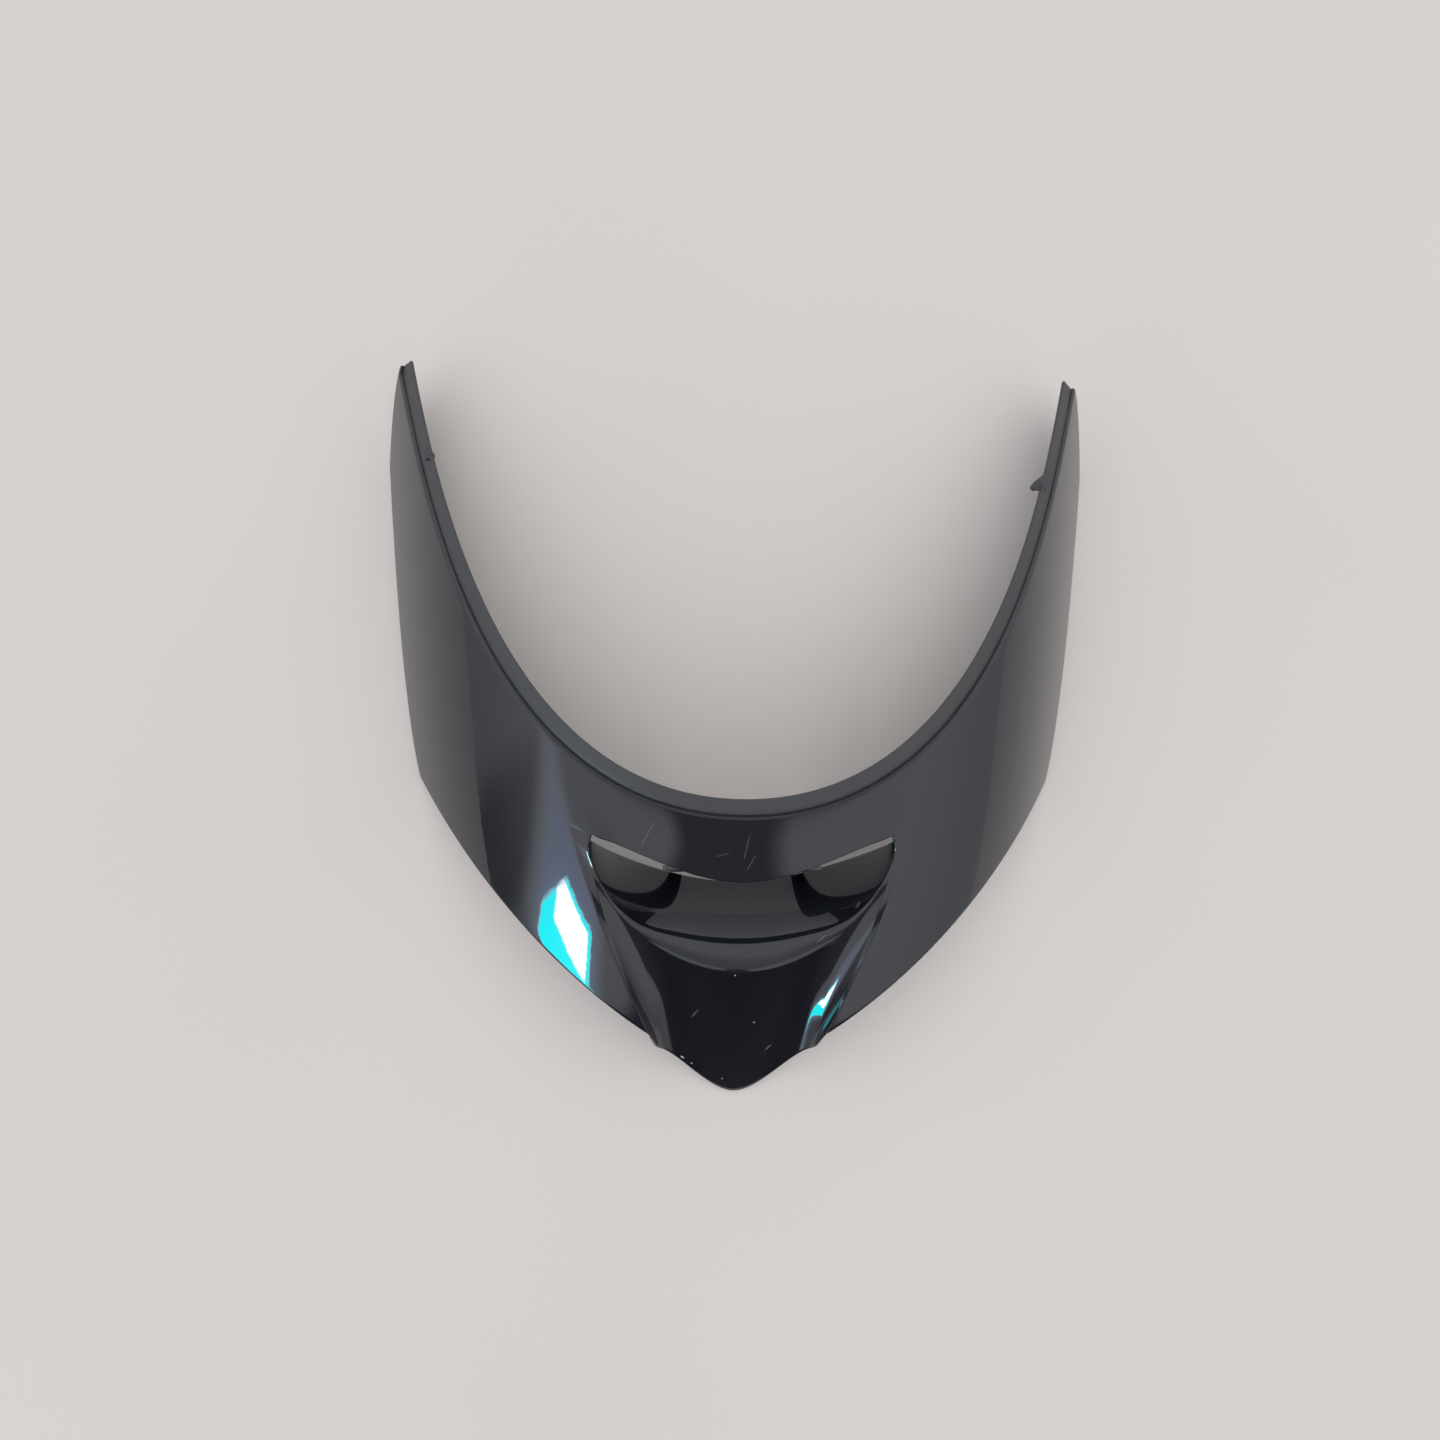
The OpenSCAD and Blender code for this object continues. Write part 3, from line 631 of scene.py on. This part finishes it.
# Worn spots that the paint shows: place, half length and half width in millimetres, and turn in degrees
CHIPS = ((143.3, 39.2, 1.4, 0.8, 30), (-34.4, -214.1, 1.6, 0.4, -38), (-28.5, -219.0, 0.7, 0.3, -38),
         (-8.2, -230.5, 0.5, 0.4, 0), (10.7, -183.1, 0.5, 0.4, 20), (-2.9, -146.4, 0.4, 0.4, 0))
SCUFFS = ((2.0, -66.0, 7.0, 0.22, 78), (4.6, -76.0, 5.0, 0.18, 62), (-26.8, -177.9, 3.6, 0.5, 55),
          (21.3, -205.2, 2.6, 0.7, 48), (50.3, -125.0, 3.2, 0.4, 40), (71.3, -104.0, 2.2, 0.35, 55),
          (-54.9, -58.6, 7.0, 0.3, 60), (-12.0, -71.0, 4.0, 0.15, 15))


# Settings of a Map Range node that eases in and out
SMOOTH = {"interpolation_type": "SMOOTHSTEP"}


def add_node(tree, kind, inputs=None, **settings):
    """Adds a node with its settings. An input is a value, a socket, or a node for its first live output."""
    node = tree.nodes.new(kind)
    for key, value in settings.items():
        setattr(node, key, value)
    for key, value in (inputs or {}).items():
        if isinstance(value, bpy.types.Node):
            value = next(out for out in value.outputs if out.enabled)
        if isinstance(value, bpy.types.NodeSocket):
            tree.links.new(value, node.inputs[key])
        else:
            node.inputs[key].default_value = value
    return node


def new_material(name):
    """A material with a Principled shader, its tree and the object's coordinates in metres."""
    material = bpy.data.materials.new(name)
    material.use_nodes = True
    tree = material.node_tree
    shader = tree.nodes["Principled BSDF"]
    place = add_node(tree, "ShaderNodeTexCoord").outputs["Object"]
    return material, tree, shader, place


def marks(tree, place, table):
    """Mask of worn spots, each (x, y, half length, half width in mm, turn in degrees), with frayed edges."""
    noise = add_node(tree, "ShaderNodeTexNoise", {"Vector": place, "Scale": 900.0, "Detail": 3.0})
    fray = add_node(tree, "ShaderNodeMapRange", {"Value": noise, 3: -1.2, 4: 1.2}, clamp=False)
    total = 0.0
    for x, y, half_length, half_width, turn in table:
        spot = add_node(tree, "ShaderNodeMapping", {
            "Vector": place, "Location": (x / 1000, y / 1000, 0), "Rotation": (0, 0, math.radians(turn)),
            "Scale": (half_length / 1000, half_width / 1000, 1)}, vector_type="TEXTURE")
        size = add_node(tree, "ShaderNodeVectorMath", {0: spot}, operation="LENGTH")
        ragged = add_node(tree, "ShaderNodeMath", {0: size, 1: fray}, operation="ADD")
        mask = add_node(tree, "ShaderNodeMapRange", {"Value": ragged, 1: 1.15, 2: 0.85}, **SMOOTH)
        total = add_node(tree, "ShaderNodeMath", {0: mask, 1: total}, operation="MAXIMUM")
    return total


def pearl_clear_coat(finish):
    """Sprayed clear coat over a blue-black pearl base: sharp grey reflections over a faint blue sheen."""
    material, tree, shader, place = new_material("pearl_clear_coat")
    shader.inputs["Specular IOR Level"].default_value = 0.12
    shader.inputs["Specular Tint"].default_value = finish.flake
    shader.inputs["IOR"].default_value = 1.5
    shader.inputs["Coat Weight"].default_value = 1.0
    shader.inputs["Coat IOR"].default_value = 1.55
    shader.inputs["Coat Roughness"].default_value = finish.coat_roughness
    # Pigment clouds a few millimetres wide
    cloud = add_node(tree, "ShaderNodeTexNoise", {"Vector": place, "Scale": 260.0, "Detail": 3.0})
    bright = tuple(1.5 * c for c in finish.paint[:3]) + (1,)
    base = add_node(tree, "ShaderNodeMix", {0: cloud, 6: finish.paint, 7: bright}, data_type="RGBA")
    # Dust specks about 0.3 mm wide, a few dozen on the whole cowl
    cell = add_node(tree, "ShaderNodeTexVoronoi", {"Vector": place, "Scale": 120.0, "Randomness": 1.0})
    pick = add_node(tree, "ShaderNodeSeparateColor", {0: cell.outputs["Color"]})
    dusty = add_node(tree, "ShaderNodeMath", {0: pick, 1: 0.55}, operation="GREATER_THAN")
    speck = add_node(tree, "ShaderNodeMapRange",
                     {"Value": cell.outputs["Distance"], 1: 0.045, 2: 0.02, 4: dusty}, **SMOOTH)
    # Dull scratches in the coat, and chips down to the pale filler
    scuff = marks(tree, place, SCUFFS)
    chip = marks(tree, place, CHIPS)
    grey = tuple(0.2 * c for c in finish.chip[:3]) + (1,)
    dull = add_node(tree, "ShaderNodeMath", {0: speck, 1: scuff}, operation="MAXIMUM")
    share = add_node(tree, "ShaderNodeMath", {0: dull, 1: 0.6}, operation="MULTIPLY")
    base = add_node(tree, "ShaderNodeMix", {0: share, 6: base, 7: grey}, data_type="RGBA")
    base = add_node(tree, "ShaderNodeMix", {0: chip, 6: base, 7: finish.chip}, data_type="RGBA")
    tree.links.new(base.outputs[2], shader.inputs["Base Color"])
    worn = add_node(tree, "ShaderNodeMath", {0: scuff, 1: chip}, operation="MAXIMUM")
    rough = add_node(tree, "ShaderNodeMapRange", {"Value": worn, 3: 0.26, 4: 0.7}, **SMOOTH)
    tree.links.new(rough.outputs[0], shader.inputs["Roughness"])
    # Orange peel of sprayed clear coat, waves about 4 mm long and some micrometres high
    peel = add_node(tree, "ShaderNodeTexNoise", {"Vector": place, "Scale": 240.0, "Detail": 1.0})
    bump = add_node(tree, "ShaderNodeBump", {"Height": peel, "Strength": 1.0, "Distance": 0.000012})
    pit = add_node(tree, "ShaderNodeBump",
                   {"Height": worn, "Strength": 1.0, "Distance": 0.0001, "Normal": bump}, invert=True)
    tree.links.new(pit.outputs[0], shader.inputs["Coat Normal"])
    return material


def bare_plastic(finish):
    """Matt injection-moulded plastic with a fine spark-eroded grain, dull with dust."""
    material, tree, shader, place = new_material("bare_plastic")
    shader.inputs["IOR"].default_value = 1.49
    dust = add_node(tree, "ShaderNodeTexNoise",
                    {"Vector": place, "Scale": 45.0, "Detail": 6.0, "Roughness": 0.65})
    pale = tuple(1.7 * c for c in finish.bare[:3]) + (1,)
    tone = add_node(tree, "ShaderNodeMix", {0: dust, 6: finish.bare, 7: pale}, data_type="RGBA")
    tree.links.new(tone.outputs[2], shader.inputs["Base Color"])
    rough = add_node(tree, "ShaderNodeMapRange", {"Value": dust, 3: 0.45, 4: 0.65})
    tree.links.new(rough.outputs[0], shader.inputs["Roughness"])
    grain = add_node(tree, "ShaderNodeTexNoise", {"Vector": place, "Scale": 1400.0, "Detail": 2.0})
    bump = add_node(tree, "ShaderNodeBump", {"Height": grain, "Strength": 0.5, "Distance": 0.00008})
    tree.links.new(bump.outputs[0], shader.inputs["Normal"])
    return material


def table_top(stage):
    """Pale lacquered table: even colour with faint darker clouds."""
    material, tree, shader, place = new_material("table_top")
    cloud = add_node(tree, "ShaderNodeTexNoise", {"Vector": place, "Scale": 2.2, "Detail": 2.0})
    dim = tuple(0.93 * c for c in stage.floor[:3]) + (1,)
    tone = add_node(tree, "ShaderNodeMix", {0: cloud, 6: dim, 7: stage.floor}, data_type="RGBA")
    tree.links.new(tone.outputs[2], shader.inputs["Base Color"])
    shader.inputs["Roughness"].default_value = 0.55
    shader.inputs["Specular IOR Level"].default_value = 0.2
    return material


def patch(tree, x, z, x_span, z_span, soft, most):
    """A soft-edged rectangle of the room's walls: most inside it, 0 outside."""
    for value, (start, end) in ((x, x_span), (z, z_span)):
        for edge, inner in ((start, start + soft), (end, end - soft)):
            most = add_node(tree, "ShaderNodeMapRange",
                            {"Value": value, 1: edge, 2: inner, 4: most}, **SMOOTH)
    return most


def room(stage):
    """The room's light by direction: bright walls, a dim zone before the nose, a window on the left."""
    world = bpy.data.worlds.new("room")
    world.use_nodes = True
    tree = world.node_tree
    way = add_node(tree, "ShaderNodeTexCoord").outputs["Generated"]
    x, y, z = add_node(tree, "ShaderNodeSeparateXYZ", {0: way}).outputs[:3]
    path = add_node(tree, "ShaderNodeLightPath")
    # Walls that are brightest below the ceiling, and in shade at the far left
    wall = add_node(tree, "ShaderNodeMapRange", {"Value": z, 1: -0.1, 2: 0.65, 3: 0.55, 4: 1.26}, **SMOOTH)
    ceiling = add_node(tree, "ShaderNodeMapRange", {"Value": z, 1: 0.7, 2: 0.95, 4: 0.5}, **SMOOTH)
    wall = add_node(tree, "ShaderNodeMath", {0: wall, 1: ceiling}, operation="SUBTRACT")
    side = add_node(tree, "ShaderNodeMapRange", {"Value": y, 1: -0.20, 2: -0.35, 4: 0.4}, **SMOOTH)
    side = add_node(tree, "ShaderNodeMapRange", {"Value": x, 1: -0.80, 2: -0.86, 4: side}, **SMOOTH)
    wall = add_node(tree, "ShaderNodeMath", {0: wall, 1: side}, operation="SUBTRACT")
    # The dim zone narrows towards the photographer's head and arms
    reach = add_node(tree, "ShaderNodeMapRange", {"Value": z, 1: -0.1, 2: 0.75, 3: 0.60, 4: 0.15}, **SMOOTH)
    off = add_node(tree, "ShaderNodeMath", {0: x}, operation="ABSOLUTE")
    gap = add_node(tree, "ShaderNodeMath", {0: reach, 1: off}, operation="SUBTRACT")
    front = add_node(tree, "ShaderNodeMapRange", {"Value": y, 1: -0.3, 2: -0.5}, **SMOOTH)
    dim = add_node(tree, "ShaderNodeMapRange", {"Value": gap, 1: -0.05, 2: 0.05, 4: front}, **SMOOTH)
    shade = add_node(tree, "ShaderNodeMapRange", {"Value": z, 1: 0.1, 2: 0.75, 3: 0.05, 4: 0.26}, **SMOOTH)
    strength = add_node(tree, "ShaderNodeMix", {0: dim, 2: wall, 3: shade})
    # The window: a soft blue glow, and in mirror reflections teal panes with white ones in their middle
    ahead = add_node(tree, "ShaderNodeMath", {0: y, 1: 0.0}, operation="LESS_THAN")
    mirrored = add_node(tree, "ShaderNodeMapRange",
                        {"Value": y, 1: -0.58, 2: -0.60, 4: path.outputs["Is Glossy Ray"]}, **SMOOTH)
    glow = patch(tree, x, z, (-0.84, -0.42), (0.10, 0.64), 0.12, ahead)
    teal = patch(tree, x, z, (-0.76, -0.50), (0.19, 0.49), 0.012, mirrored)
    white = patch(tree, x, z, (-0.70, -0.52), (0.325, 0.47), 0.012, mirrored)
    tint = (1, 1, 1, 1)
    for share, part, cover, hue in ((glow, 0.10, 0.7, stage.glow), (teal, 0.75, 1.0, stage.sky),
                                    (white, 0.25, 1.0, (1, 1, 1, 1))):
        strength = add_node(tree, "ShaderNodeMath", {0: share, 1: part * stage.window, 2: strength},
                            operation="MULTIPLY_ADD")
        amount = add_node(tree, "ShaderNodeMath", {0: share, 1: cover}, operation="MULTIPLY")
        tint = add_node(tree, "ShaderNodeMix", {0: amount, 6: tint, 7: hue}, data_type="RGBA")
    light = tree.nodes["Background"]
    tree.links.new(tint.outputs[2], light.inputs["Color"])
    tree.links.new(strength.outputs[0], light.inputs["Strength"])
    # The camera sees a plain pale backdrop
    pale = add_node(tree, "ShaderNodeBackground", {"Color": stage.floor, "Strength": 1.0})
    both = add_node(tree, "ShaderNodeMixShader", {0: path.outputs["Is Camera Ray"], 1: light, 2: pale})
    tree.links.new(both.outputs[0], tree.nodes["World Output"].inputs["Surface"])
    return world


def cowl_form():
    """The form with the present settings, lifted so that its lowest point touches the floor."""
    form = CowlForm(bpy.context.scene.cowl_shape)
    outer, inner = shell_skins(form)
    form.lift = -float(min(outer[..., 2].min(), inner[..., 2].min()))
    return form


def material(make):
    """The material a function makes, made once and named like the function."""
    return bpy.data.materials.get(make.__name__) or make(bpy.context.scene.cowl_finish)


class COWL_OT_shell(bpy.types.Operator):
    """Build the painted shell with its flange, mouth, scoop, beak and worn arm tips"""
    bl_idname = "cowl.shell"
    bl_label = "Shell"

    def execute(self, context):
        form = cowl_form()
        verts, faces, kinds = shell_mesh(form)
        paint, bare = material(pearl_clear_coat), material(bare_plastic)
        obj = mesh_object("shell", to_part(verts, form), faces, [paint, bare, bare], kinds)
        on_cowl(obj)
        return {"FINISHED"}


def turned(profile, base, axis, segments=48):
    """Points and quads of a profile (radius, height) turned about an axis that starts at base."""
    side = unit(np.cross(axis, [0.0, 1.0, 0.1]))
    other = np.cross(axis, side)
    angles = np.linspace(0, 2 * math.pi, segments, endpoint=False)
    verts = [base + axis * h + r * (math.cos(a) * side + math.sin(a) * other)
             for r, h in profile for a in angles]
    faces = []
    for k in range(len(profile) - 1):
        for a in range(segments):
            b = (a + 1) % segments
            faces.append((k * segments + a, k * segments + b, (k + 1) * segments + b, (k + 1) * segments + a))
    return verts, faces


def soft_block(mesh_points, faces, radius):
    """A closed block with its edges rounded, as points and faces."""
    bm = bmesh.new()
    verts = [bm.verts.new(p) for p in mesh_points]
    for f in faces:
        bm.faces.new([verts[k] for k in f])
    bmesh.ops.recalc_face_normals(bm, faces=bm.faces)
    bmesh.ops.bevel(bm, geom=bm.edges, offset=radius, segments=3, profile=0.5, affect="EDGES")
    bm.verts.index_update()
    points = [tuple(v.co) for v in bm.verts]
    out = [tuple(v.index for v in f.verts) for f in bm.faces]
    bm.free()
    return points, out


BLOCK = ((0, 3, 2, 1), (4, 5, 6, 7), (0, 1, 5, 4), (1, 2, 6, 5), (2, 3, 7, 6), (3, 0, 4, 7))


def joined(parts):
    """Points and faces of several bodies as one."""
    verts, faces = [], []
    for p, f in parts:
        faces += [tuple(int(k) + len(verts) for k in face) for face in f]
        verts += [tuple(v) for v in p]
    return verts, faces


class COWL_OT_struts(bpy.types.Operator):
    """Build the two flat struts that join the upper lip to the scoop behind the mouth"""
    bl_idname = "cowl.struts"
    bl_label = "Struts"

    def execute(self, context):
        form = cowl_form()
        s = form.s
        blocks = []
        m = 0.98 * s.strut_gap / s.mouth_w
        head, foot = bez(form.upper_lip, m), bez(form.scoop_back, m)
        top = float(form.crown(*head)) - 0.0022
        low = float(form.column(m * N_MOUTH, np.array([float(R_SCOOP)]))[0, 2]) - 0.0016
        for side in (-1, 1):
            x = side * s.strut_gap / 2
            corners = []
            ends = ((foot[1] - STRUT_SINK, low - STRUT_SINK, s.strut_foot_w),
                    (head[1] + 0.0012, top + STRUT_SINK, s.strut_w))
            for y, z, w in ends:
                for dx, dy in ((-1, -1), (1, -1), (1, 1), (-1, 1)):
                    corners.append((x + dx * w / 2, y + dy * s.strut_t / 2, z))
            blocks.append(soft_block(corners, BLOCK, 0.0004))
        verts, faces = joined(blocks)
        obj = mesh_object("struts", to_part(np.array(verts), form), faces, [material(bare_plastic)])
        on_cowl(obj)
        return {"FINISHED"}


class COWL_OT_fixings(bpy.types.Operator):
    """Build the two screw bosses inside, the peg boss with its tab and the stub of the broken tab"""
    bl_idname = "cowl.fixings"
    bl_label = "Fixings"

    def execute(self, context):
        form = cowl_form()
        s = form.s
        parts = []
        for side in (-1, 1):
            x, y = side * s.boss_gap / 2, BOSS_PLACE
            e = 0.001
            slope = np.array([(form.crown(x + e, y) - form.crown(x - e, y)) / 2 / e,
                              (form.crown(x, y + e) - form.crown(x, y - e)) / 2 / e, -1.0])
            base = np.array([x, y, float(form.crown(x, y))])
            r, bore = s.boss_d / 2, s.pilot_d / 2
            end = s.boss_l
            ring = [(r + 0.001, s.wall * 0.8), (r + 0.0002, s.wall + 0.0006), (r, s.wall + 0.0015),
                    (r, end - 0.0005), (r - 0.0005, end), (bore + 0.0004, end), (bore, end - 0.0004),
                    (bore, end - s.pilot_l),
                    (0.00001, end - s.pilot_l)]
            parts.append(turned(ring, base, unit(slope)))
        # The whole tab on the right arm, with its peg boss, and what is left of the one on the left
        edge = bez(form.opening, PEG_PLACE)
        top = float(form.crown(*edge)) - s.flange_sink - TAB_SINK
        parts.append(plate(np.array(TAB_PLAN) + edge, top - s.wall, s.wall))
        r, bore = s.peg_d / 2, s.peg_bore / 2
        tube = [(bore, 0.0), (bore, -s.peg_l), (r, -s.peg_l), (r, 0.0004), (bore + 0.0002, 0.0004),
                (bore, 0.0)]
        parts.append(turned(tube, np.array([*(edge + PEG_OUT), top]), np.array([0.0, 0.0, 1.0])))
        edge = bez(form.opening, STUB_PLACE)
        top = float(form.crown(*edge)) - s.flange_sink - TAB_SINK
        parts.append(plate(np.array(STUB_PLAN) + [-edge[0], edge[1]], top - s.wall, s.wall))
        verts, faces = joined(parts)
        obj = mesh_object("fixings", to_part(np.array(verts), form), faces, [material(bare_plastic)])
        on_cowl(obj)
        return {"FINISHED"}


def plate(plan, z, thickness):
    """A flat plate with rounded edges over a plan outline."""
    n = len(plan)
    points = [(x, y, z) for x, y in plan] + [(x, y, z + thickness) for x, y in plan]
    sides = [(k, (k + 1) % n, n + (k + 1) % n, n + k) for k in range(n)]
    return soft_block(points, [tuple(range(n))[::-1], tuple(range(n, 2 * n))] + sides, 0.0003)


class COWL_OT_stage(bpy.types.Operator):
    """Build the table, the soft light and the camera"""
    bl_idname = "cowl.stage"
    bl_label = "Stage"

    def execute(self, context):
        scene = context.scene
        stage = scene.cowl_stage
        top = table_top(stage)
        near = [(-3, stage.table_edge, 0), (3, stage.table_edge, 0), (3, 3, 0), (-3, 3, 0)]
        table = mesh_object("table", near, [(0, 1, 2, 3)], [top])
        # In front of the table's edge the paint mirrors the dark room, so this part shows in no reflection
        front = [(-3, -3, 0), (3, -3, 0), (3, stage.table_edge, 0), (-3, stage.table_edge, 0)]
        apron = mesh_object("table front", front, [(0, 1, 2, 3)], [top])
        apron.visible_glossy = False
        scene.world = room(stage)

        camera = bpy.data.objects.new("camera", bpy.data.cameras.new("camera"))
        camera.data.sensor_width = 36
        camera.data.lens = stage.lens
        camera.location = (-stage.camera_side, -stage.camera_back, stage.camera_height)
        camera.rotation_euler = tuple(stage.tilt)
        scene.collection.objects.link(camera)
        scene.camera = camera
        scene.view_settings.view_transform = "Standard"
        return {"FINISHED"}


class COWL_PT_panel(bpy.types.Panel):
    """Settings and build buttons in the sidebar"""
    bl_idname = "COWL_PT_panel"
    bl_label = "Cowl"
    bl_space_type = "VIEW_3D"
    bl_region_type = "UI"
    bl_category = "Cowl"

    def draw(self, context):
        for operator in OPERATORS:
            self.layout.operator(operator.bl_idname)
        for group in (context.scene.cowl_shape, context.scene.cowl_finish, context.scene.cowl_stage):
            for key in group.bl_rna.properties.keys():
                if key not in ("rna_type", "name"):
                    self.layout.prop(group, key)


OPERATORS = (COWL_OT_shell, COWL_OT_struts, COWL_OT_fixings, COWL_OT_stage)
CLASSES = (CowlShape, CowlFinish, CowlStage, *OPERATORS, COWL_PT_panel)


def register():
    for cls in CLASSES:
        bpy.utils.register_class(cls)
    bpy.types.Scene.cowl_shape = bpy.props.PointerProperty(type=CowlShape)
    bpy.types.Scene.cowl_finish = bpy.props.PointerProperty(type=CowlFinish)
    bpy.types.Scene.cowl_stage = bpy.props.PointerProperty(type=CowlStage)


def unregister():
    del bpy.types.Scene.cowl_shape, bpy.types.Scene.cowl_finish, bpy.types.Scene.cowl_stage
    for cls in reversed(CLASSES):
        bpy.utils.unregister_class(cls)


def main():
    register()
    bpy.ops.cowl.shell()
    bpy.ops.cowl.struts()
    bpy.ops.cowl.fixings()
    bpy.ops.cowl.stage()


if __name__ == "__main__":
    main()
